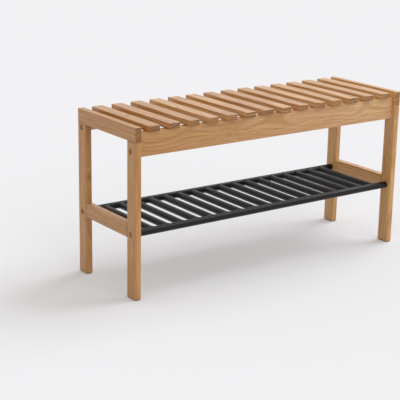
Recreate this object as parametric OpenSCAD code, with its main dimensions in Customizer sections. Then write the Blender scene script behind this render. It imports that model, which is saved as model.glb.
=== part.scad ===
// Entryway bench: slatted seat on two end frames, with a welded tube shelf for shoes.
// Millimetres, +Z up. The origin is on the floor, under the middle of the bench.
// +X runs along the bench to its right-hand end, and -Y is its front.

/* [Overall size] */
// Length over the legs
bench_l = 900; // [700:10:1200]
// Depth over the legs
bench_d = 280; // [260:5:400]
// Height of the seat above the floor
seat_h = 450; // [400:5:500]

/* [Legs] */
// Leg thickness, along the bench
leg_t = 20; // [20:1:26]
// Leg width, front to back
leg_w = 40; // [40:1:50]
// Rounding of the legs' upright edges
leg_r = 5; // [2:0.5:6]

/* [End rails] */
// Thickness of the top and side rails
rail_t = 18; // [18:1:22]
// Height of the top and side rails
rail_h = 38; // [34:1:40]
// Height of the side rail's underside
side_rail_z = 161; // [100:1:200]

/* [Aprons] */
// Apron thickness
apron_t = 18; // [18:1:20]
// Height of the front apron
front_apron_h = 62; // [62:1:70]
// Height of the back apron
back_apron_h = 40; // [40:1:62]
// How far an apron lies behind the faces of its legs
apron_setback = 12; // [8:1:12]

/* [Seat slats] */
// Number of slats between the top rails
slat_count = 14; // [8:1:14]
// Slat width
slat_w = 33; // [26:1:36]
// Slat thickness
slat_t = 16; // [14:1:18]
// Slat length, front to back
slat_l = 275; // [250:1:278]
// Gap between a top rail and the slat beside it
end_gap = 23; // [10:1:30]

/* [Shoe shelf] */
// Outer diameter of the two long tubes
tube_d = 19; // [19:1:25]
// Height of the shelf tubes' axes
shelf_z = 173; // [120:1:220]
// Number of cross bars
bar_count = 17; // [5:1:17]
// Outer diameter of the cross bars
bar_d = 18; // [12:1:18]

/* [Joints and fasteners] */
// How far the bolts into the front apron lie below the seat
front_bolt_drop = 63; // [62:1:66]
// How far the bolts into the back apron lie below the seat
back_bolt_drop = 48; // [48:1:49]
// Diameter of the counterbore round a bolt head
counterbore_d = 14.5; // [14:0.5:15.5]
// Depth of the counterbore
counterbore_h = 9; // [8:0.5:9]

/* [Hidden] */
$fn = 64;
// Overrun of every cutter past the face it opens
over = 1;
// How far the end rails stand back from the faces of the legs
rail_inset = 1;
// Easing of the sawn edges: seat slats, other boards, and the feet of the legs
slat_edge_r = 1.5;
board_edge_r = 1;
foot_r = 2.5;

// Legs stand on glides and stop under the top rails
glide_h = 2;
glide_inset = 3;
glide_r = 2;
glide_stem_r = 3;
glide_stem_h = 12;
leg_top = seat_h - rail_h;
leg_cx = bench_l / 2 - leg_t / 2;
leg_cy = bench_d / 2 - leg_w / 2;
inner_l = bench_l - 2 * leg_t;
inner_d = bench_d - 2 * leg_w;

// Stub tenon on each leg, and the mortise for it in the top rail
tenon_t = 9;
tenon_w = 26;
tenon_h = 24;
tenon_r = 2;
mortise_gap = 1;

// Aprons, and the line that bolts, dowels and shelf tubes share
apron_top = seat_h - slat_t;
joint_y = bench_d / 2 - apron_setback - apron_t / 2;

// Slats are evenly spread between the first and the last
first_slat_x = -bench_l / 2 + rail_inset + rail_t + end_gap + slat_w / 2;
slat_pitch = -2 * first_slat_x / (slat_count - 1);
slat_x = [for (i = [0 : slat_count - 1]) first_slat_x + i * slat_pitch];

// Shelf bars divide the length between the legs evenly
tube_wall = 1.5;
bar_wall = 1.2;
bar_pitch = inner_l / (bar_count + 1);
bar_x = [for (i = [1 : bar_count]) -inner_l / 2 + i * bar_pitch];

// M6 bolts: heights, clearance hole, head, washer, and their two lengths
front_bolt_z = seat_h - front_bolt_drop;
back_bolt_z = seat_h - back_bolt_drop;
bolt_r = 3;
bolt_hole_r = 3.25;
bolt_head_r = 6.5;
bolt_head_h = 3.5;
socket_af = 4;
socket_h = 2.2;
washer_r = 7;
washer_h = 1.5;
apron_bolt_l = 50;
shelf_bolt_l = 30;
bolt_seat_x = -bench_l / 2 + counterbore_h - washer_h;

// Barrel nut, let into the apron's inner face
nut_r = 5;
nut_l = 14;
nut_from_end = 32;
nut_slot_w = 1.6;
nut_slot_h = 1.5;

// Threaded insert in each end of a shelf tube
insert_l = 20;

// Beech dowels: 8 mm in the end frames, 6 mm under the slats
dowel_r = 4;
dowel_l = 30;
dowel_in_leg = 10;
dowel_above_bolt = 17;
apron_dowel_z = front_bolt_z + dowel_above_bolt;
side_dowel_rise = 9;
slat_dowel_r = 3;
slat_dowel_in_slat = 10;
slat_dowel_in_apron = 12;
dowel_gap = 0.5;

slat_tones = ["#d9b48c", "#cfa67c", "#dcb88f", "#c99f76"];
leg_tone = "#b0865a";
rail_tone = "#ba9063";
apron_tone = "#c1925f";
steel_tone = "#c9c5bd";
beech_tone = "#dcbf94";
coat_tone = "#2c2b29";

function two_digits(i) = str(i < 10 ? "0" : "", i);
function slat_name(i) = str("seat_slat_", two_digits(i));
function bar_name(i) = str("shelf_bar_", two_digits(i));

// ---- Shared shapes and places ----

// Rectangle centred on the origin, with true round corners
module rounded_rect(w, h, r) {
    square([w - 2 * r, h], center = true);
    square([w, h - 2 * r], center = true);
    for (x = [-1, 1], y = [-1, 1])
        translate([x * (w / 2 - r), y * (h / 2 - r)])
            circle(r = r);
}

// Profile in the XZ plane, drawn out along Y
module drawn_deep(w, h, r, l) {
    rotate([90, 0, 0]) linear_extrude(height = l, center = true) rounded_rect(w, h, r);
}

// Profile in the YZ plane, drawn out along X
module drawn_long(w, h, r, l) {
    rotate([90, 0, 90]) linear_extrude(height = l, center = true) rounded_rect(w, h, r);
}

// Board centred on the origin, with all twelve edges eased
module eased_board(x, y, z, r) {
    intersection() {
        linear_extrude(height = z, center = true) rounded_rect(x, y, r);
        drawn_deep(x, z, r, y);
        drawn_long(y, z, r, x);
    }
}

// Cylinder along +X, from the origin
module along_x(r, l) {
    rotate([0, 90, 0]) cylinder(r = r, h = l);
}

// Cylinder along +Y, from the origin
module along_y(r, l) {
    rotate([-90, 0, 0]) cylinder(r = r, h = l);
}

// Puts a piece drawn at the front left into the corner given by the signs of x and y
module to_corner(x, y) {
    mirror([x > 0 ? 1 : 0, 0, 0])
        mirror([0, y > 0 ? 1 : 0, 0])
            children();
}

// The four corners, each with the height of its own apron bolt
module each_corner() {
    for (x = [-1, 1], y = [-1, 1])
        to_corner(x, y) {
            $bolt_z = y < 0 ? front_bolt_z : back_bolt_z;
            children();
        }
}

// ---- End frames ----

// Counterbored bolt hole through the front left leg
module leg_bolt_hole(z) {
    translate([-bench_l / 2, -joint_y, z]) {
        translate([-over, 0, 0]) along_x(bolt_hole_r, leg_t + 2 * over);
        translate([-over, 0, 0]) along_x(counterbore_d / 2, counterbore_h + over);
    }
}

// Leg stock, upright on the origin: rounded along its length and eased at the foot
module leg_stock() {
    stock_h = leg_top - glide_h;
    eased_h = stock_h + foot_r;
    translate([0, 0, glide_h])
        intersection() {
            linear_extrude(height = stock_h) rounded_rect(leg_t, leg_w, leg_r);
            translate([0, 0, eased_h / 2]) drawn_deep(leg_t, eased_h, foot_r, leg_w);
            translate([0, 0, eased_h / 2]) drawn_long(leg_w, eased_h, foot_r, leg_t);
        }
}

// Front left leg. The others are its mirror images, with their own bolt heights.
// Children are cut away from it.
module leg(bolt_z) {
    color(leg_tone)
    difference() {
        translate([-leg_cx, -leg_cy, 0]) {
            leg_stock();
            translate([0, 0, leg_top - over])
                linear_extrude(height = tenon_h + over) rounded_rect(tenon_t, tenon_w, tenon_r);
        }
        leg_bolt_hole(bolt_z);
        leg_bolt_hole(shelf_z);
        for (rise = [-side_dowel_rise, side_dowel_rise])
            translate([-leg_cx, -inner_d / 2 - dowel_in_leg - dowel_gap, side_rail_z + rail_h / 2 + rise])
                along_y(dowel_r, dowel_in_leg + dowel_gap + over);
        translate([-leg_cx, -leg_cy, glide_h - over])
            cylinder(r = glide_stem_r, h = glide_stem_h + over + dowel_gap);
        children();
    }
}

module front_leg(x) {
    to_corner(x, -1)
        leg(front_bolt_z)
            translate([-inner_l / 2 - dowel_in_leg - dowel_gap, -joint_y, apron_dowel_z])
                along_x(dowel_r, dowel_in_leg + dowel_gap + over);
}

module back_leg(x) {
    to_corner(x, 1) leg(back_bolt_z);
}

// Left top rail: lies across both legs and takes their tenons
module top_rail() {
    color(rail_tone)
    difference() {
        translate([-leg_cx, 0, leg_top + rail_h / 2])
            eased_board(rail_t, bench_d - 2 * rail_inset, rail_h, board_edge_r);
        for (y = [-leg_cy, leg_cy])
            translate([-leg_cx, y, leg_top - over])
                linear_extrude(height = tenon_h + mortise_gap + over)
                    rounded_rect(tenon_t, tenon_w, tenon_r);
    }
}

// Left side rail: butts between the legs on two dowels at each end
module side_rail() {
    color(rail_tone)
    difference() {
        translate([-leg_cx, 0, side_rail_z + rail_h / 2])
            drawn_deep(rail_t, rail_h, board_edge_r, inner_d);
        for (y = [-1, 1], rise = [-side_dowel_rise, side_dowel_rise])
            mirror([0, y > 0 ? 1 : 0, 0])
                translate([-leg_cx, -inner_d / 2 - over, side_rail_z + rail_h / 2 + rise])
                    along_y(dowel_r, dowel_l - dowel_in_leg + dowel_gap + over);
    }
}

// ---- Aprons ----

// Bores for the bolt and its barrel nut, in the left end of the front apron
module apron_bolt_bores(bolt_z) {
    translate([-inner_l / 2 - over, -joint_y, bolt_z])
        along_x(bolt_hole_r, bolt_seat_x + apron_bolt_l + inner_l / 2 + 2 * over);
    translate([-inner_l / 2 + nut_from_end, -joint_y - nut_l / 2 - dowel_gap, bolt_z])
        along_y(nut_r, nut_l / 2 + dowel_gap + apron_t / 2 + over);
}

// Front apron of the given height. The back one is its mirror image.
// Children are cut away from both ends.
module apron(h, bolt_z) {
    color(apron_tone)
    difference() {
        translate([0, -joint_y, apron_top - h / 2])
            drawn_long(apron_t, h, board_edge_r, inner_l);
        for (x = [-1, 1])
            to_corner(x, -1) {
                apron_bolt_bores(bolt_z);
                children();
            }
        for (x = slat_x)
            translate([x, -joint_y, apron_top - slat_dowel_in_apron - dowel_gap])
                cylinder(r = slat_dowel_r, h = slat_dowel_in_apron + dowel_gap + over);
    }
}

module apron_front() {
    apron(front_apron_h, front_bolt_z)
        translate([-inner_l / 2 - over, -joint_y, apron_dowel_z])
            along_x(dowel_r, dowel_l - dowel_in_leg + dowel_gap + over);
}

// The back apron meets too little of the legs for a dowel beside the bolt
module apron_back() {
    to_corner(-1, 1) apron(back_apron_h, back_bolt_z);
}

// ---- Seat ----

// One slat, counted from the left, doweled to both aprons from below
module seat_slat(i) {
    color(slat_tones[i % len(slat_tones)])
    translate([slat_x[i - 1], 0, apron_top])
        difference() {
            translate([0, 0, slat_t / 2]) eased_board(slat_w, slat_l, slat_t, slat_edge_r);
            for (y = [-joint_y, joint_y])
                translate([0, y, -over])
                    cylinder(r = slat_dowel_r, h = slat_dowel_in_slat + dowel_gap + over);
        }
}

// ---- Shoe shelf ----

// Front shelf tube, open at both ends for its threaded inserts
module shelf_tube() {
    color(coat_tone)
    translate([-inner_l / 2, -joint_y, shelf_z])
        difference() {
            along_x(tube_d / 2, inner_l);
            translate([-over, 0, 0]) along_x(tube_d / 2 - tube_wall, inner_l + 2 * over);
        }
}

// One cross bar, counted from the left: a tube whose ends are coped to saddle the long tubes
module shelf_bar(i) {
    color(coat_tone)
    translate([bar_x[i - 1], 0, shelf_z])
        difference() {
            translate([0, -joint_y, 0]) along_y(bar_d / 2, 2 * joint_y);
            translate([0, -joint_y - over, 0]) along_y(bar_d / 2 - bar_wall, 2 * (joint_y + over));
            for (y = [-joint_y, joint_y])
                translate([-bar_d, y, 0]) along_x(tube_d / 2, 2 * bar_d);
        }
}

// ---- Fasteners and joinery ----

// M6 bolt along +X, its head bearing on the plane x = 0
module bolt(l) {
    difference() {
        union() {
            translate([-bolt_head_h, 0, 0]) along_x(bolt_head_r, bolt_head_h);
            translate([-over, 0, 0]) along_x(bolt_r, l + over);
        }
        translate([-bolt_head_h - over, 0, 0])
            rotate([0, 90, 0])
                cylinder(d = socket_af / cos(30), h = socket_h + over, $fn = 6);
    }
}

module apron_bolts() {
    color(steel_tone)
    each_corner() translate([bolt_seat_x, -joint_y, $bolt_z]) bolt(apron_bolt_l);
}

module shelf_bolts() {
    color(steel_tone)
    each_corner() translate([bolt_seat_x, -joint_y, shelf_z]) bolt(shelf_bolt_l);
}

module bolt_washers() {
    color(steel_tone)
    each_corner()
        for (z = [$bolt_z, shelf_z])
            translate([bolt_seat_x, -joint_y, z])
                difference() {
                    along_x(washer_r, washer_h);
                    translate([-over, 0, 0]) along_x(bolt_hole_r, washer_h + 2 * over);
                }
}

// Cross dowels with a screwdriver slot in the end that shows inside the bench
module barrel_nuts() {
    color(steel_tone)
    each_corner()
        translate([-inner_l / 2 + nut_from_end, -joint_y, $bolt_z])
            difference() {
                translate([0, -nut_l / 2, 0]) along_y(nut_r, nut_l);
                translate([-nut_r - over, 0, 0]) along_x(bolt_r, 2 * (nut_r + over));
                translate([-nut_r - over, nut_l / 2 - nut_slot_h, -nut_slot_w / 2])
                    cube([2 * (nut_r + over), nut_slot_h + over, nut_slot_w]);
            }
}

module tube_inserts() {
    color(steel_tone)
    each_corner()
        translate([-inner_l / 2, -joint_y, shelf_z])
            difference() {
                along_x(tube_d / 2 - tube_wall, insert_l);
                translate([-over, 0, 0]) along_x(bolt_r, insert_l + 2 * over);
            }
}

module apron_dowels() {
    color(beech_tone)
    for (x = [-1, 1])
        to_corner(x, -1)
            translate([-inner_l / 2 - dowel_in_leg, -joint_y, apron_dowel_z])
                along_x(dowel_r, dowel_l);
}

module side_rail_dowels() {
    color(beech_tone)
    each_corner()
        for (rise = [-side_dowel_rise, side_dowel_rise])
            translate([-leg_cx, -inner_d / 2 - dowel_in_leg, side_rail_z + rail_h / 2 + rise])
                along_y(dowel_r, dowel_l);
}

module slat_dowels() {
    color(beech_tone)
    for (x = slat_x, y = [-joint_y, joint_y])
        translate([x, y, apron_top - slat_dowel_in_apron])
            cylinder(r = slat_dowel_r, h = slat_dowel_in_apron + slat_dowel_in_slat);
}

// Plastic glides, each held by a stem in the end of its leg
module foot_glides() {
    color(coat_tone)
    each_corner()
        translate([-leg_cx, -leg_cy, 0]) {
            linear_extrude(height = glide_h)
                rounded_rect(leg_t - 2 * glide_inset, leg_w - 2 * glide_inset, glide_r);
            translate([0, 0, glide_h - over]) cylinder(r = glide_stem_r, h = glide_stem_h + over);
        }
}

// ---- Output ----

front_leg(-1);  // leg_front_left
front_leg(1);  // leg_front_right
back_leg(-1);  // leg_back_left
back_leg(1);  // leg_back_right
top_rail();  // top_rail_left
to_corner(1, -1) top_rail();  // top_rail_right
side_rail();  // side_rail_left
to_corner(1, -1) side_rail();  // side_rail_right
apron_front();
apron_back();
for (i = [1 : slat_count])
    seat_slat(i);
shelf_tube();  // shelf_tube_front
to_corner(-1, 1) shelf_tube();  // shelf_tube_back
for (i = [1 : bar_count])
    shelf_bar(i);
apron_bolts();
shelf_bolts();
bolt_washers();
barrel_nuts();
tube_inserts();
apron_dowels();
side_rail_dowels();
slat_dowels();
foot_glides();
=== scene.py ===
import math
import random

import bmesh
import bpy
from bpy.props import FloatProperty, FloatVectorProperty, PointerProperty
from bpy.types import Operator, Panel, PropertyGroup
from mathutils import Euler, Matrix, Vector


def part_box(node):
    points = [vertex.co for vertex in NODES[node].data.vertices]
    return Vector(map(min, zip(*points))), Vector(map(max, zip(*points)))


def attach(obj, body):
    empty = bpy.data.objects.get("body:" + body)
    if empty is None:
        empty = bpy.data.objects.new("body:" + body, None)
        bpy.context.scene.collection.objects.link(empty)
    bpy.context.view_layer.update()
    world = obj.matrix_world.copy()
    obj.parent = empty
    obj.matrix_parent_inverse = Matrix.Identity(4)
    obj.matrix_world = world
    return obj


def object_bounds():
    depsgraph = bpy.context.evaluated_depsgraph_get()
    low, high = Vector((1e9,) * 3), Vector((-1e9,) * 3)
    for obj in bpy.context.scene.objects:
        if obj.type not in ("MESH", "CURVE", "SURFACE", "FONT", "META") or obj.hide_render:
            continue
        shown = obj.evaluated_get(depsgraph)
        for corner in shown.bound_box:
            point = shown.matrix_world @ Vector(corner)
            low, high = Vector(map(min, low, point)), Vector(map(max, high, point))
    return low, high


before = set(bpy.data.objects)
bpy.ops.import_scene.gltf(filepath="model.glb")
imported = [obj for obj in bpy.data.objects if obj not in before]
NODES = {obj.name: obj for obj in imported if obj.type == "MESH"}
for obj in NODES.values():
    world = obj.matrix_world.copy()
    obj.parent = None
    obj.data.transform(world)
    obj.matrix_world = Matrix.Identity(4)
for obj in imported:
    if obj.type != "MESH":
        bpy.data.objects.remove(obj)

bl_info = {
    "name": "Entryway bench",
    "version": (1, 0, 0),
    "blender": (4, 5, 0),
    "location": "View3D > Sidebar > Bench",
    "description": "Dresses the slatted entryway bench in its wood, powder coat and steel",
    "category": "Object",
}

CAD_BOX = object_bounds()
BODY = "root"
MM = 0.001
HALF_LENGTH = CAD_BOX[1][0]

# Length in metres of the log that the boards' places are drawn from
LOG_LENGTH = 20

# Place of the knot of a board that has none, too far off to show
NOWHERE = (0.0, 0.0, 9.0)

# Points along each ripple of a weld bead, and round the bead
RIPPLE_STEPS = 4
BEAD_SIDES = 8

# Distance in metres from the middle of the studio floor to its edges
FLOOR_REACH = 60


def srgb(hex_colour):
    """Linear RGBA of an sRGB hex colour."""
    parts = [int(hex_colour[i:i + 2], 16) / 255 for i in (0, 2, 4)]
    linear = [c / 12.92 if c <= 0.04045 else ((c + 0.055) / 1.055) ** 2.4 for c in parts]
    return (*linear, 1.0)


# ---- Sizes and colours ----

def tint(name, description, hex_colour):
    """A colour that the user can change."""
    return FloatVectorProperty(name=name, description=description, subtype="COLOR",
                               size=4, min=0, max=1, default=srgb(hex_colour))


def size(name, description, millimetres):
    """A length that the user can change."""
    return FloatProperty(name=name, description=description, unit="LENGTH",
                         min=0, precision=4, default=millimetres * MM)


def amount(name, description, default, highest=1.0):
    """A plain number that the user can change."""
    return FloatProperty(name=name, description=description, min=0, max=highest, default=default)


def angle(name, description, degrees):
    """An angle that the user can change."""
    return FloatProperty(name=name, description=description, subtype="ANGLE",
                         default=math.radians(degrees))


class WoodSettings(PropertyGroup):
    """Acacia: its colours and the real sizes of its figure."""
    golden: tint("Golden wood", "Early wood in the golden parts of a board", "EFCD98")
    rosy: tint("Rosy wood", "Early wood in the rosy parts of a board", "F3CBA4")
    warm: tint("Warm wood", "Late wood in the growth lines", "CE9F69")
    streak: tint("Streaks", "Dark fibres and pores", "8A5A2A")
    knot: tint("Knot", "Heart of a knot", "6E4422")
    end_grain: tint("End grain", "Sawn ends that drank the most oil", "A08746")
    # Painted light: these tints pale from the bench's left end to its right, standing in for the key
    # light's falloff
    left_tint_painted_shade: tint("Left painted shade", "Tint of a board at the left end of the bench", "DBC192")
    right_tint_painted_light: tint("Right painted light", "Tint of a board at the right end of the bench", "FBECCE")
    apron_right_painted_light: tint("Apron painted light", "Tint of the front apron's right end", "FFF5EA")
    board_spread: amount("Board spread", "How far boards side by side differ in tint", 0.25)
    end_shade: amount("End shade", "How much a sawn end is darkened, on average", 0.6)
    end_spread: amount("End spread", "How far sawn ends differ in darkness", 0.25)
    thirst: amount("Thirst", "How much more oil the late wood of a sawn end drank", 0.28)
    ring_spacing: size("Ring spacing", "Distance between growth lines", 5)
    warp: size("Warp", "How far the growth lines wander", 22)
    warp_width: size("Warp width", "Width of one wander across the grain", 250)
    warp_length: size("Warp length", "Length of one wander along the grain", 300)
    blush_width: size("Blush width", "Width of a rosy part", 30)
    blush_length: size("Blush length", "Length of a rosy part", 150)
    knot_reach: size("Knot reach", "How far a knot bends the growth lines", 26)
    knot_rings: amount("Knot rings", "Growth lines that close round a knot", 7, 20)
    leg_knot_height: size("Leg knot height", "Height of the knot in the back left leg", 271)
    leg_knot_shade: amount("Leg knot shade", "Darkness of the knot in the back left leg", 0.8)
    apron_knot_left: size("Apron knot left", "How far left of the apron's middle its knot lies", 155)
    apron_knot_drop: size("Apron knot drop", "How far below mid-height the apron's knot lies", 5)
    apron_knot_shade: amount("Apron knot shade", "Darkness of the knot in the front apron", 0.15)
    fibre_width: size("Fibre width", "Width of a fibre streak, three times life size", 1.8)
    fibre_length: size("Fibre length", "Length of a fibre streak", 80)
    fibre_strength: amount("Fibre strength", "Darkness of the darkest fibre streaks", 0.6)
    pore_width: size("Pore width", "Width of an open pore, three times life size", 0.8)
    pore_length: size("Pore length", "Length of an open pore", 10)
    pore_strength: amount("Pore strength", "Darkness of the darkest pores", 0.5)
    relief: size("Relief", "Depth of the open grain after sanding", 0.1)
    roughness: amount("Roughness", "Roughness of the oiled surface", 0.5)
    rubbed: amount("Rubbed", "How much smoother the rubbed fibres are", 0.08)
    open_grain: amount("Open grain", "How much rougher the open grain is", 0.1)
    ior: amount("IOR", "Index of refraction of the wood", 1.5, 3)
    oil_film: amount("Oil film", "Strength of the shine of the dried oil", 0.5)
    film_roughness: amount("Film roughness", "Roughness of the dried oil", 0.28)


class MetalSettings(PropertyGroup):
    """Powder coat, weld beads, zinc-plated steel, dowels and glides."""
    coat: tint("Powder coat", "Black powder coat of the shelf", "0D0C0A")
    coat_fleck: tint("Powder fleck", "Paler grains in the powder coat", "14130F")
    coat_grain: size("Powder grain", "Size of the coat's orange peel", 1.6)
    coat_relief: size("Powder relief", "Depth of the orange peel", 0.05)
    coat_smooth: amount("Smooth coat", "Roughness of the coat where it is smoothest", 0.26)
    coat_rough: amount("Rough coat", "Roughness of the coat where it is roughest", 0.36)
    coat_ior: amount("Powder IOR", "Index of refraction of the powder coat", 1.35, 3)
    bead: size("Weld bead", "Half the width of the weld beads", 1.3)
    bead_ripple: size("Weld ripple", "Height of the ripples along a weld bead", 0.2)
    bead_step: size("Weld step", "Distance from one ripple to the next", 2.2)
    zinc: tint("Zinc", "Zinc plating on screws and nuts", "F6ECE0")
    zinc_dull: tint("Dull zinc", "Duller crystals of the plating", "D8CCBC")
    spangle: size("Spangle", "Size of the zinc's crystals, far coarser than life", 1.2)
    zinc_smooth: amount("Smooth zinc", "Roughness of the brightest crystals", 0.25)
    zinc_rough: amount("Rough zinc", "Roughness of the dullest crystals", 0.35)
    beech: tint("Beech", "Turned beech of the dowels", "DDBE95")
    beech_fleck: tint("Beech fleck", "Short rays in the beech", "B98F62")
    ray_length: size("Ray length", "Length of a beech ray", 2.5)
    beech_roughness: amount("Beech roughness", "Roughness of the bare dowels", 0.7)
    plastic: tint("Plastic", "Moulded plastic of the foot glides", "242322")
    plastic_worn: tint("Worn plastic", "Scuffed plastic", "353432")
    plastic_grain: size("Plastic grain", "Size of the moulded texture, coarser than life", 0.8)
    plastic_relief: size("Plastic relief", "Depth of the moulded texture", 0.05)
    plastic_roughness: amount("Plastic roughness", "Roughness of the glides", 0.55)


class StageSettings(PropertyGroup):
    """Floor, lights and camera."""
    floor: tint("Floor", "Pale studio floor", "DADADB")
    lift: amount("Lift", "How far the floor's shadows are lifted for the camera", 0.15)
    backdrop: tint("Backdrop", "What lies beyond the floor", "F1F1F3")
    bounce: tint("Floor bounce", "What the floor throws back at the bench", "C9C5C0")
    ambient: amount("Ambient", "Strength of the even studio light", 0.64, 2)
    ambient_tint: tint("Ambient tint", "Warmth of the even studio light", "FFFAF4")
    lamp_tint: tint("Lamp tint", "Coolness of the two lights", "F0F5FF")
    key: amount("Key", "Strength of the soft key light", 1.7, 10)
    key_lean: angle("Key lean", "Lean of the key light from overhead to the right", 42)
    fill: amount("Fill", "Strength of the weak front light", 0.55, 10)
    fill_lean: angle("Fill lean", "Lean of the front light from overhead to the front", 55)
    lamp_size: angle("Lamp size", "Apparent size of both lights", 42)
    lens: FloatProperty(name="Lens", description="Focal length", unit="CAMERA", default=106.5)
    turn: angle("Turn", "Direction of view, from straight at the front", 35.94)
    tilt: angle("Tilt", "How far the camera looks down", 16.35)
    roll: angle("Roll", "How far the camera leans about its line of sight", 1.02)
    distance: size("Distance", "Distance from the camera to its aim", 3299)
    aim: FloatVectorProperty(name="Aim", description="Aim of the camera, from the bench's centre",
                             subtype="TRANSLATION", default=(-0.1088, 0.0575, -0.059))


# ---- Materials ----

def add(tree, kind, inputs=None, **settings):
    """Adds a node with its settings, and gives each input a value or a link."""
    node = tree.nodes.new(kind)
    for name, value in settings.items():
        setattr(node, name, value)
    for socket, value in (inputs or {}).items():
        if isinstance(value, bpy.types.NodeSocket):
            tree.links.new(value, node.inputs[socket])
        else:
            node.inputs[socket].default_value = value
    return node


# Sockets of a Mix node that is set to colours: its three inputs and its output
FACTOR, FIRST, SECOND, MIXED = 0, 6, 7, 2

# Noise values at which early wood starts to darken, and at which it is all late wood
EARLY_WOOD, LATE_WOOD = 0.34, 0.66


def new_material(name):
    """An empty material, its node tree and its surface shader."""
    material = bpy.data.materials.new(name)
    material.use_nodes = True
    tree = material.node_tree
    return material, tree, next(n for n in tree.nodes if n.type == "BSDF_PRINCIPLED")


# Turns that lay a board's grain along Z, by the direction in which the grain runs
GRAIN_TURN = {
    "upright": Euler((0, 0, 0)),
    "deep": Euler((math.radians(90), 0, 0)),
    "long": Euler((0, math.radians(-90), 0)),
}
GRAIN_AXIS = {"upright": (0, 0, 1), "deep": (0, 1, 0), "long": (1, 0, 0)}


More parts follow.
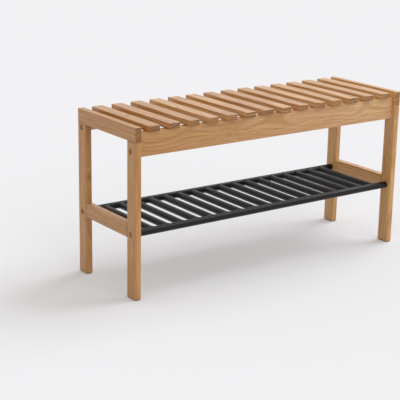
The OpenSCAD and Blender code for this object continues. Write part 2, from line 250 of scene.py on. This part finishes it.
def oiled_acacia(wood, grain):
    """Acacia, planed, sanded and wiped with oil.

    The eye sees golden wood with soft, darker growth lines that wander along the board, fine dark
    fibres and pores, darker end grain that drank more oil, and a low silky shine.
    """
    material, tree, shader = new_material("oiled_acacia_" + grain)
    place = add(tree, "ShaderNodeTexCoord")
    turned = add(tree, "ShaderNodeMapping", {"Vector": place.outputs["Object"],
                                             "Rotation": GRAIN_TURN[grain]})
    shift = add(tree, "ShaderNodeAttribute", attribute_type="OBJECT", attribute_name="log_place")
    log = add(tree, "ShaderNodeVectorMath", {0: turned.outputs[0], 1: shift.outputs["Vector"]},
              operation="ADD").outputs[0]

    # Growth lines: distance from the log's heart, which wanders slowly along the grain
    slow = add(tree, "ShaderNodeMapping", {
        "Vector": log, "Scale": (1 / wood.warp_width, 1 / wood.warp_width, 1 / wood.warp_length)})
    wander = add(tree, "ShaderNodeTexNoise", {"Vector": slow.outputs[0], "Scale": 1, "Detail": 1.5})
    swing = add(tree, "ShaderNodeAttribute", attribute_type="OBJECT", attribute_name="wander")
    bend = add(tree, "ShaderNodeVectorMath",
               {0: wander.outputs["Color"], 1: swing.outputs["Vector"], 2: log},
               operation="MULTIPLY_ADD")
    section = add(tree, "ShaderNodeVectorMath", {0: bend.outputs[0], 1: (1, 1, 0)},
                  operation="MULTIPLY")
    radius = add(tree, "ShaderNodeVectorMath", {0: section.outputs[0]}, operation="LENGTH")
    count = add(tree, "ShaderNodeMath", {0: radius.outputs["Value"], 1: wood.ring_spacing},
                operation="DIVIDE")

    # A knot pulls the growth lines round itself, in an oval twice as long as it is wide
    pith = add(tree, "ShaderNodeAttribute", attribute_type="OBJECT", attribute_name="knot_place")
    from_knot = add(tree, "ShaderNodeVectorMath", {0: turned.outputs[0], 1: pith.outputs["Vector"]},
                    operation="SUBTRACT")
    oval = add(tree, "ShaderNodeVectorMath", {0: from_knot.outputs[0], 1: (1, 1, 0.5)},
               operation="MULTIPLY")
    reach = add(tree, "ShaderNodeVectorMath", {0: oval.outputs[0]}, operation="LENGTH")
    pull = add(tree, "ShaderNodeMapRange", {
        "Value": reach.outputs["Value"], "From Max": wood.knot_reach,
        "To Min": wood.knot_rings, "To Max": 0}, interpolation_type="SMOOTHERSTEP")
    bent = add(tree, "ShaderNodeMath", {0: count.outputs[0], 1: pull.outputs[0]}, operation="ADD")
    rings = add(tree, "ShaderNodeTexNoise",
                {"W": bent.outputs[0], "Scale": 1, "Detail": 2.5, "Roughness": 0.6},
                noise_dimensions="1D")
    strength = add(tree, "ShaderNodeAttribute", attribute_type="OBJECT", attribute_name="figure")
    lines = add(tree, "ShaderNodeMapRange",
                {"Value": rings.outputs[0], "From Min": EARLY_WOOD, "From Max": LATE_WOOD,
                 "To Max": strength.outputs["Fac"]}, interpolation_type="SMOOTHSTEP")

    # Fibres and pores: long thin noise along the grain. Noise lies about 0.5, so the higher
    # From Min is, the fewer the marks, and the nearer it is to From Max, the sharper their edges
    fine = add(tree, "ShaderNodeMapping", {
        "Vector": log,
        "Scale": (1 / wood.fibre_width, 1 / wood.fibre_width, 1 / wood.fibre_length)})
    fibres = add(tree, "ShaderNodeTexNoise",
                 {"Vector": fine.outputs[0], "Scale": 1, "Detail": 3, "Roughness": 0.6})
    finer = add(tree, "ShaderNodeMapping", {
        "Vector": log,
        "Scale": (1 / wood.pore_width, 1 / wood.pore_width, 1 / wood.pore_length)})
    pores = add(tree, "ShaderNodeTexNoise", {"Vector": finer.outputs[0], "Scale": 1})
    dark_fibres = add(tree, "ShaderNodeMapRange", {
        "Value": fibres.outputs[0], "From Min": 0.42, "From Max": 0.72,
        "To Max": wood.fibre_strength})
    open_pores = add(tree, "ShaderNodeMapRange", {
        "Value": pores.outputs[0], "From Min": 0.6, "From Max": 0.72,
        "To Max": wood.pore_strength})

    # Colour: golden and rosy parts, growth lines, the board's tint with its painted light, its knot,
    # then streaks
    broad = add(tree, "ShaderNodeMapping", {
        "Vector": log,
        "Scale": (1 / wood.blush_width, 1 / wood.blush_width, 1 / wood.blush_length)})
    blush = add(tree, "ShaderNodeTexNoise", {"Vector": broad.outputs[0], "Scale": 1, "Detail": 2})
    rosiness = add(tree, "ShaderNodeMapRange", {"Value": blush.outputs[0], "From Min": 0.4,
                                                "From Max": 0.6})
    early = add(tree, "ShaderNodeMix", {FACTOR: rosiness.outputs[0], FIRST: wood.golden,
                                        SECOND: wood.rosy}, data_type="RGBA")
    figure = add(tree, "ShaderNodeMix", {FACTOR: lines.outputs[0], FIRST: early.outputs[MIXED],
                                         SECOND: wood.warm}, data_type="RGBA")
    # Painted light: the tint pales from the bench's left end to its right, standing in for the key
    # light's falloff
    near = add(tree, "ShaderNodeAttribute", attribute_type="OBJECT", attribute_name="board_tint")
    far = add(tree, "ShaderNodeAttribute", attribute_type="OBJECT", attribute_name="far_tint")
    split = add(tree, "ShaderNodeSeparateXYZ", {0: turned.outputs[0]})
    share = add(tree, "ShaderNodeMapRange", {"Value": split.outputs[2],
                                             "From Min": -HALF_LENGTH, "From Max": HALF_LENGTH})
    board = add(tree, "ShaderNodeMix", {FACTOR: share.outputs[0], FIRST: near.outputs["Color"],
                                        SECOND: far.outputs["Color"]}, data_type="RGBA")
    dyed = add(tree, "ShaderNodeMix", {FACTOR: 1.0, FIRST: figure.outputs[MIXED],
                                       SECOND: board.outputs[MIXED]},
               data_type="RGBA", blend_type="MULTIPLY")
    shade = add(tree, "ShaderNodeAttribute", attribute_type="OBJECT", attribute_name="knot_shade")
    heart = add(tree, "ShaderNodeMapRange", {
        "Value": reach.outputs["Value"], "From Min": 0.06 * wood.knot_reach,
        "From Max": 0.2 * wood.knot_reach, "To Min": shade.outputs["Fac"], "To Max": 0})
    knotted = add(tree, "ShaderNodeMix", {FACTOR: heart.outputs[0], FIRST: dyed.outputs[MIXED],
                                          SECOND: wood.knot}, data_type="RGBA")
    streaked = add(tree, "ShaderNodeMix", {FACTOR: dark_fibres.outputs[0],
                                           FIRST: knotted.outputs[MIXED], SECOND: wood.streak},
                   data_type="RGBA")
    pored = add(tree, "ShaderNodeMix", {FACTOR: open_pores.outputs[0],
                                        FIRST: streaked.outputs[MIXED], SECOND: wood.streak},
                data_type="RGBA")

    # Sawn ends face along the grain, and drank more oil in the late wood
    along = add(tree, "ShaderNodeVectorMath", {0: place.outputs["Normal"], 1: GRAIN_AXIS[grain]},
                operation="DOT_PRODUCT")
    facing = add(tree, "ShaderNodeMath", {0: along.outputs["Value"]}, operation="ABSOLUTE")
    end = add(tree, "ShaderNodeAttribute", attribute_type="OBJECT", attribute_name="end_shade")
    sawn = add(tree, "ShaderNodeMapRange", {"Value": facing.outputs[0], "From Min": 0.6,
                                            "From Max": 0.95, "To Max": end.outputs["Fac"]})
    thirst = add(tree, "ShaderNodeMapRange", {
        "Value": rings.outputs[0], "From Min": EARLY_WOOD, "From Max": LATE_WOOD,
        "To Min": 1 - wood.thirst, "To Max": 1 + wood.thirst})
    soaked = add(tree, "ShaderNodeMath", {0: sawn.outputs[0], 1: thirst.outputs[0]},
                 operation="MULTIPLY", use_clamp=True)
    ended = add(tree, "ShaderNodeMix", {FACTOR: soaked.outputs[0], FIRST: pored.outputs[MIXED],
                                        SECOND: wood.end_grain},
                data_type="RGBA", blend_type="MULTIPLY")
    tree.links.new(ended.outputs[MIXED], shader.inputs["Base Color"])

    # Dark fibres stay rougher than the rubbed ones between them, and pores lie lower
    shine = add(tree, "ShaderNodeMapRange", {
        "Value": fibres.outputs[0], "From Min": 0.3, "From Max": 0.7,
        "To Min": wood.roughness - wood.rubbed, "To Max": wood.roughness + wood.open_grain})
    tree.links.new(shine.outputs[0], shader.inputs["Roughness"])
    grooves = add(tree, "ShaderNodeMath", {0: fibres.outputs[0], 1: open_pores.outputs[0]},
                  operation="SUBTRACT")
    bump = add(tree, "ShaderNodeBump", {"Height": grooves.outputs[0], "Strength": 0.6,
                                        "Distance": wood.relief})
    tree.links.new(bump.outputs[0], shader.inputs["Normal"])
    shader.inputs["IOR"].default_value = wood.ior
    shader.inputs["Coat Weight"].default_value = wood.oil_film
    shader.inputs["Coat Roughness"].default_value = wood.film_roughness
    return material


def powder_coat(metal):
    """Polyester powder, sprayed on welded steel tube and baked.

    The eye sees satin black with a faint orange peel and slightly paler grains.
    """
    material, tree, shader = new_material("black_powder_coat")
    place = add(tree, "ShaderNodeTexCoord")
    peel = add(tree, "ShaderNodeTexNoise", {"Vector": place.outputs["Object"],
                                            "Scale": 1 / metal.coat_grain, "Detail": 2})
    speck = add(tree, "ShaderNodeTexVoronoi", {"Vector": place.outputs["Object"],
                                               "Scale": 1 / metal.coat_grain})
    paler = add(tree, "ShaderNodeMapRange", {"Value": speck.outputs["Distance"],
                                             "From Min": 0.1, "From Max": 0.6,
                                             "To Min": 1.0, "To Max": 0.0})
    mix = add(tree, "ShaderNodeMix", {FACTOR: paler.outputs[0], FIRST: metal.coat,
                                      SECOND: metal.coat_fleck}, data_type="RGBA")
    tree.links.new(mix.outputs[MIXED], shader.inputs["Base Color"])
    shine = add(tree, "ShaderNodeMapRange", {
        "Value": peel.outputs[0], "From Min": 0.3, "From Max": 0.7,
        "To Min": metal.coat_smooth, "To Max": metal.coat_rough})
    tree.links.new(shine.outputs[0], shader.inputs["Roughness"])
    bump = add(tree, "ShaderNodeBump", {"Height": peel.outputs[0], "Strength": 0.35,
                                        "Distance": metal.coat_relief})
    tree.links.new(bump.outputs[0], shader.inputs["Normal"])
    shader.inputs["IOR"].default_value = metal.coat_ior
    return material


def zinc_steel(metal):
    """Mild steel screws and nuts, turned and zinc plated.

    The eye sees a soft silver shine broken into small duller crystals.
    """
    material, tree, shader = new_material("zinc_steel")
    place = add(tree, "ShaderNodeTexCoord")
    crystals = add(tree, "ShaderNodeTexVoronoi", {"Vector": place.outputs["Object"],
                                                  "Scale": 1 / metal.spangle})
    grey = add(tree, "ShaderNodeSeparateColor", {"Color": crystals.outputs["Color"]})
    mix = add(tree, "ShaderNodeMix", {FACTOR: grey.outputs[0], FIRST: metal.zinc,
                                      SECOND: metal.zinc_dull}, data_type="RGBA")
    tree.links.new(mix.outputs[MIXED], shader.inputs["Base Color"])
    shine = add(tree, "ShaderNodeMapRange", {
        "Value": grey.outputs[1], "To Min": metal.zinc_smooth, "To Max": metal.zinc_rough})
    tree.links.new(shine.outputs[0], shader.inputs["Roughness"])
    shader.inputs["Metallic"].default_value = 1
    return material


def turned_beech(metal):
    """Beech dowel rod, turned and left bare.

    The eye sees pale, even wood with short darker rays along it.
    """
    material, tree, shader = new_material("turned_beech")
    place = add(tree, "ShaderNodeTexCoord")
    rays = add(tree, "ShaderNodeTexNoise", {"Vector": place.outputs["Object"],
                                            "Scale": 1 / metal.ray_length, "Detail": 3})
    dark = add(tree, "ShaderNodeMapRange", {"Value": rays.outputs[0], "From Min": 0.5,
                                            "From Max": 0.7})
    mix = add(tree, "ShaderNodeMix", {FACTOR: dark.outputs[0], FIRST: metal.beech,
                                      SECOND: metal.beech_fleck}, data_type="RGBA")
    tree.links.new(mix.outputs[MIXED], shader.inputs["Base Color"])
    shader.inputs["Roughness"].default_value = metal.beech_roughness
    return material


def moulded_polyethylene(metal):
    """Polyethylene glides, moulded in a spark-eroded tool.

    The eye sees dull black plastic with a fine even grain, paler where the floor has scuffed it.
    """
    material, tree, shader = new_material("moulded_polyethylene")
    place = add(tree, "ShaderNodeTexCoord")
    grain = add(tree, "ShaderNodeTexNoise", {"Vector": place.outputs["Object"],
                                             "Scale": 1 / metal.plastic_grain, "Detail": 2})
    scuff = add(tree, "ShaderNodeMapRange", {"Value": grain.outputs[0], "From Min": 0.45,
                                             "From Max": 0.75})
    mix = add(tree, "ShaderNodeMix", {FACTOR: scuff.outputs[0], FIRST: metal.plastic,
                                      SECOND: metal.plastic_worn}, data_type="RGBA")
    tree.links.new(mix.outputs[MIXED], shader.inputs["Base Color"])
    bump = add(tree, "ShaderNodeBump", {"Height": grain.outputs[0], "Strength": 0.4,
                                        "Distance": metal.plastic_relief})
    tree.links.new(bump.outputs[0], shader.inputs["Normal"])
    shader.inputs["Roughness"].default_value = metal.plastic_roughness
    return material


# ---- Pieces ----

def dress(names, material):
    """Gives CAD nodes a finish."""
    for name in names:
        slots = NODES[name].data.materials
        slots.clear()
        slots.append(material)


def named(prefix):
    """CAD nodes whose names start with a prefix, in order."""
    return sorted(n for n in NODES if n.startswith(prefix))


def saw_from_log(names, grain, heart, seed, wander=1.0, figure=1.0):
    """Cuts each board from its own place in the log and gives it a tint that holds painted light.

    heart is how far in metres the log's heart lies behind the board, wander says how wavy the
    growth lines are and figure how dark. Tints run from darker at the left end of the bench to
    paler at the right, which is painted light standing in for the key light's falloff, and boards
    side by side differ at random in tone. No board has a knot until it is given one.
    """
    wood = bpy.context.scene.bench_wood
    deep, pale = Vector(wood.left_tint_painted_shade[:3]), Vector(wood.right_tint_painted_light[:3])
    warp = 2 * wander * wood.warp
    chance = random.Random(seed)
    sorting = random.Random(seed)
    for name in names:
        low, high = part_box(name)
        centre = (low + high) / 2
        # Painted light: boards pale towards the right end, where the key light falls; the random
        # spread is the boards' own tone
        tone_and_painted_light = 0.5 + centre.x / (2 * HALF_LENGTH)
        tone_and_painted_light += sorting.uniform(-wood.board_spread, wood.board_spread)
        board_tint = deep.lerp(pale, min(max(tone_and_painted_light, 0), 1))
        set_painted_light_tints(name, board_tint, board_tint)
        centre.rotate(GRAIN_TURN[grain])
        side = chance.uniform(-0.5, 0.5) * heart
        depth = heart * chance.uniform(0.7, 1.3)
        board = NODES[name]
        board["log_place"] = Vector((side, depth, chance.uniform(0, LOG_LENGTH))) - centre
        board["wander"] = (warp, warp, 0.0)
        board["end_shade"] = wood.end_shade * sorting.uniform(1 - wood.end_spread,
                                                              1 + wood.end_spread)
        board["figure"] = figure
        board["knot_place"] = NOWHERE
        board["knot_shade"] = 0.0


def set_painted_light_tints(name, left_tint_and_painted_light, far_tint):
    """Sets a board's tint, which holds painted light and may change along the bench from its left
    end to its right.
    """
    NODES[name]["board_tint"] = left_tint_and_painted_light[:3]
    NODES[name]["far_tint"] = far_tint[:3]


def knot(name, grain, place, shade):
    """Puts a knot in a board, with a heart as dark as shade says."""
    place = Vector(place)
    place.rotate(GRAIN_TURN[grain])
    NODES[name]["knot_place"] = place
    NODES[name]["knot_shade"] = shade


class BENCH_OT_legs(Operator):
    """Four upright legs in oiled acacia"""
    bl_idname = "bench.legs"
    bl_label = "Legs"

    def execute(self, context):
        wood = context.scene.bench_wood
        legs = named("leg_")
        dress(legs, oiled_acacia(wood, "upright"))
        saw_from_log(legs, "upright", heart=0.09, seed=3, figure=0.75)
        low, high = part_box("leg_back_left")
        knot("leg_back_left", "upright", ((low.x + high.x) / 2, low.y, wood.leg_knot_height),
             wood.leg_knot_shade)
        return {"FINISHED"}


class BENCH_OT_boards(Operator):
    """Top rails, side rails and seat slats, whose grain runs from front to back"""
    bl_idname = "bench.boards"
    bl_label = "Rails and slats"

    def execute(self, context):
        rails = named("top_rail_") + named("side_rail_")
        slats = named("seat_slat_")
        dress(rails + slats, oiled_acacia(context.scene.bench_wood, "deep"))
        saw_from_log(rails, "deep", heart=0.08, seed=5)
        saw_from_log(slats, "deep", heart=0.07, seed=8)
        return {"FINISHED"}


class BENCH_OT_aprons(Operator):
    """Front and back aprons, whose grain runs along the bench"""
    bl_idname = "bench.aprons"
    bl_label = "Aprons"

    def execute(self, context):
        wood = context.scene.bench_wood
        aprons = ["apron_front", "apron_back"]
        dress(aprons, oiled_acacia(wood, "long"))
        saw_from_log(aprons, "long", heart=0.05, seed=11, wander=1.7, figure=0.7)
        # Painted light: the front apron pales towards its right end, standing in for light from the
        # right
        set_painted_light_tints("apron_front", wood.left_tint_painted_shade, wood.apron_right_painted_light)
        low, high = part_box("apron_front")
        knot("apron_front", "long",
             (-wood.apron_knot_left, low.y, (low.z + high.z) / 2 - wood.apron_knot_drop),
             wood.apron_knot_shade)
        return {"FINISHED"}


def weld_bead(form, bar, tube, metal):
    """Lays a rippled bead round the joint of a cross bar and a long tube."""
    bar_low, bar_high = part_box(bar)
    tube_low, tube_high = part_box(tube)
    bar_r = (bar_high.x - bar_low.x) / 2
    tube_r = (tube_high.z - tube_low.z) / 2
    middle = Vector(((bar_low.x + bar_high.x) / 2, (tube_low.y + tube_high.y) / 2,
                     (tube_low.z + tube_high.z) / 2))
    inward = 1 if tube.endswith("front") else -1
    ripples = round(math.tau * bar_r / metal.bead_step)
    rings = []
    for i in range(RIPPLE_STEPS * ripples):
        turn = math.tau * i / (RIPPLE_STEPS * ripples)
        out = Vector((math.cos(turn), 0, math.sin(turn)))
        depth = math.sqrt(tube_r ** 2 - (bar_r * out.z) ** 2)
        crest = middle + out * bar_r + Vector((0, inward * depth, 0))
        width = metal.bead + metal.bead_ripple * math.sin(turn * ripples)
        rings.append([form.verts.new(crest + width * (math.cos(a) * out
                                                      + Vector((0, math.sin(a), 0))))
                      for a in (math.tau * k / BEAD_SIDES for k in range(BEAD_SIDES))])
    for ring, following in zip(rings, rings[1:] + rings[:1]):
        for k in range(BEAD_SIDES):
            after = (k + 1) % BEAD_SIDES
            form.faces.new((ring[k], ring[after], following[after], following[k]))


class BENCH_OT_shelf(Operator):
    """Shoe shelf of round tubes in black powder coat"""
    bl_idname = "bench.shelf"
    bl_label = "Shelf"

    def execute(self, context):
        dress(named("shelf_tube_") + named("shelf_bar_"), powder_coat(context.scene.bench_metal))
        return {"FINISHED"}


class BENCH_OT_welds(Operator):
    """Weld beads where the cross bars meet the long tubes, under the same coat"""
    bl_idname = "bench.welds"
    bl_label = "Weld beads"

    def execute(self, context):
        form = bmesh.new()
        for bar in named("shelf_bar_"):
            for tube in named("shelf_tube_"):
                weld_bead(form, bar, tube, context.scene.bench_metal)
        bmesh.ops.recalc_face_normals(form, faces=form.faces)
        mesh = bpy.data.meshes.new("weld_beads")
        form.to_mesh(mesh)
        form.free()
        mesh.shade_smooth()
        mesh.materials.append(bpy.data.materials["black_powder_coat"])
        beads = bpy.data.objects.new("weld_beads", mesh)
        context.scene.collection.objects.link(beads)
        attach(beads, BODY)
        return {"FINISHED"}


class BENCH_OT_fasteners(Operator):
    """Bolts, washers, barrel nuts and inserts in zinc-plated steel, and beech dowels"""
    bl_idname = "bench.fasteners"
    bl_label = "Fasteners"

    def execute(self, context):
        metal = context.scene.bench_metal
        dress(["apron_bolts", "shelf_bolts", "bolt_washers", "barrel_nuts", "tube_inserts"],
              zinc_steel(metal))
        dress(["apron_dowels", "side_rail_dowels", "slat_dowels"], turned_beech(metal))
        return {"FINISHED"}


class BENCH_OT_glides(Operator):
    """Plastic glides under the legs"""
    bl_idname = "bench.glides"
    bl_label = "Foot glides"

    def execute(self, context):
        dress(["foot_glides"], moulded_polyethylene(context.scene.bench_metal))
        return {"FINISHED"}


# ---- Stage ----

def studio_floor(stage):
    """A wide matt floor that keeps the bench's shadow."""
    material, tree, shader = new_material("studio_floor")
    ray = add(tree, "ShaderNodeLightPath")
    seen = add(tree, "ShaderNodeMath", {0: ray.outputs["Is Camera Ray"],
                                        1: ray.outputs["Is Glossy Ray"]}, operation="MAXIMUM")
    mix = add(tree, "ShaderNodeMix", {FACTOR: seen.outputs[0], FIRST: stage.bounce,
                                      SECOND: stage.floor}, data_type="RGBA")
    tree.links.new(mix.outputs[MIXED], shader.inputs["Base Color"])
    lift = add(tree, "ShaderNodeMath", {0: seen.outputs[0], 1: stage.lift}, operation="MULTIPLY")
    tree.links.new(lift.outputs[0], shader.inputs["Emission Strength"])
    shader.inputs["Emission Color"].default_value = stage.backdrop
    shader.inputs["Roughness"].default_value = 1
    shader.inputs["Specular IOR Level"].default_value = 0
    mesh = bpy.data.meshes.new("studio_floor")
    form = bmesh.new()
    bmesh.ops.create_grid(form, x_segments=8, y_segments=8, size=FLOOR_REACH)
    form.to_mesh(mesh)
    form.free()
    mesh.materials.append(material)
    floor = bpy.data.objects.new("studio_floor", mesh)
    bpy.context.scene.collection.objects.link(floor)
    floor.location.z = CAD_BOX[0][2]


def studio_light(stage):
    """Even light from all round, a soft key light from the right and a weak one from the front."""
    world = bpy.data.worlds.new("studio")
    world.use_nodes = True
    tree = world.node_tree
    tree.nodes.clear()
    ray = add(tree, "ShaderNodeLightPath")
    seen = add(tree, "ShaderNodeMath", {0: ray.outputs["Is Camera Ray"],
                                        1: ray.outputs["Is Glossy Ray"]}, operation="MAXIMUM")
    behind = add(tree, "ShaderNodeMath", {0: seen.outputs[0],
                                          1: ray.outputs["Is Transmission Ray"]},
                 operation="MAXIMUM")
    even = add(tree, "ShaderNodeBackground", {"Color": stage.ambient_tint,
                                              "Strength": stage.ambient})
    backdrop = add(tree, "ShaderNodeBackground", {"Color": stage.backdrop, "Strength": 1})
    both = add(tree, "ShaderNodeMixShader", {0: behind.outputs[0], 1: even.outputs[0],
                                             2: backdrop.outputs[0]})
    add(tree, "ShaderNodeOutputWorld", {"Surface": both.outputs[0]})
    bpy.context.scene.world = world

    for name, strength, lean in (("soft_key", stage.key, (0, stage.key_lean, 0)),
                                 ("front_fill", stage.fill, (stage.fill_lean, 0, 0))):
        lamp = bpy.data.lights.new(name, "SUN")
        lamp.energy = strength
        lamp.angle = stage.lamp_size
        lamp.color = stage.lamp_tint[:3]
        holder = bpy.data.objects.new(name, lamp)
        bpy.context.scene.collection.objects.link(holder)
        holder.rotation_euler = lean


def studio_camera(stage):
    """The camera, aimed beside the bench's centre."""
    low, high = (Vector(corner) for corner in CAD_BOX)
    view = Vector((math.sin(stage.turn) * math.cos(stage.tilt),
                   math.cos(stage.turn) * math.cos(stage.tilt), -math.sin(stage.tilt)))
    lens = bpy.data.cameras.new("camera")
    lens.lens = stage.lens
    camera = bpy.data.objects.new("camera", lens)
    bpy.context.scene.collection.objects.link(camera)
    camera.location = (low + high) / 2 + Vector(stage.aim) - view * stage.distance
    level = Euler((math.radians(90) - stage.tilt, 0, -stage.turn)).to_matrix()
    camera.rotation_euler = (level @ Matrix.Rotation(stage.roll, 3, "Z")).to_euler()
    bpy.context.scene.camera = camera


class BENCH_OT_stage(Operator):
    """Floor, soft studio light and camera"""
    bl_idname = "bench.stage"
    bl_label = "Stage"

    def execute(self, context):
        stage = context.scene.bench_stage
        studio_floor(stage)
        studio_light(stage)
        studio_camera(stage)
        context.scene.view_settings.view_transform = "Standard"
        return {"FINISHED"}


# ---- Add-on ----

SETTINGS = {"bench_wood": WoodSettings, "bench_metal": MetalSettings, "bench_stage": StageSettings}
STEPS = [BENCH_OT_legs, BENCH_OT_boards, BENCH_OT_aprons, BENCH_OT_shelf, BENCH_OT_welds,
         BENCH_OT_fasteners, BENCH_OT_glides, BENCH_OT_stage]


class BENCH_PT_steps(Panel):
    """The bench's pieces, finishes and stage"""
    bl_idname = "BENCH_PT_steps"
    bl_label = "Entryway bench"
    bl_space_type = "VIEW_3D"
    bl_region_type = "UI"
    bl_category = "Bench"

    def draw(self, context):
        for step in STEPS:
            self.layout.operator(step.bl_idname)
        for group, kind in SETTINGS.items():
            box = self.layout.box()
            for name in kind.__annotations__:
                box.prop(getattr(context.scene, group), name)


def register():
    """Registers the classes and puts their settings on the scene."""
    for kind in [*SETTINGS.values(), *STEPS, BENCH_PT_steps]:
        bpy.utils.register_class(kind)
    for name, kind in SETTINGS.items():
        setattr(bpy.types.Scene, name, PointerProperty(type=kind))


def unregister():
    """Takes the settings off the scene and unregisters the classes."""
    for name in SETTINGS:
        delattr(bpy.types.Scene, name)
    for kind in reversed([*SETTINGS.values(), *STEPS, BENCH_PT_steps]):
        bpy.utils.unregister_class(kind)


def main():
    """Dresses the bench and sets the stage."""
    register()
    for step in STEPS:
        group, name = step.bl_idname.split(".")
        getattr(getattr(bpy.ops, group), name)()


if __name__ == "__main__":
    main()
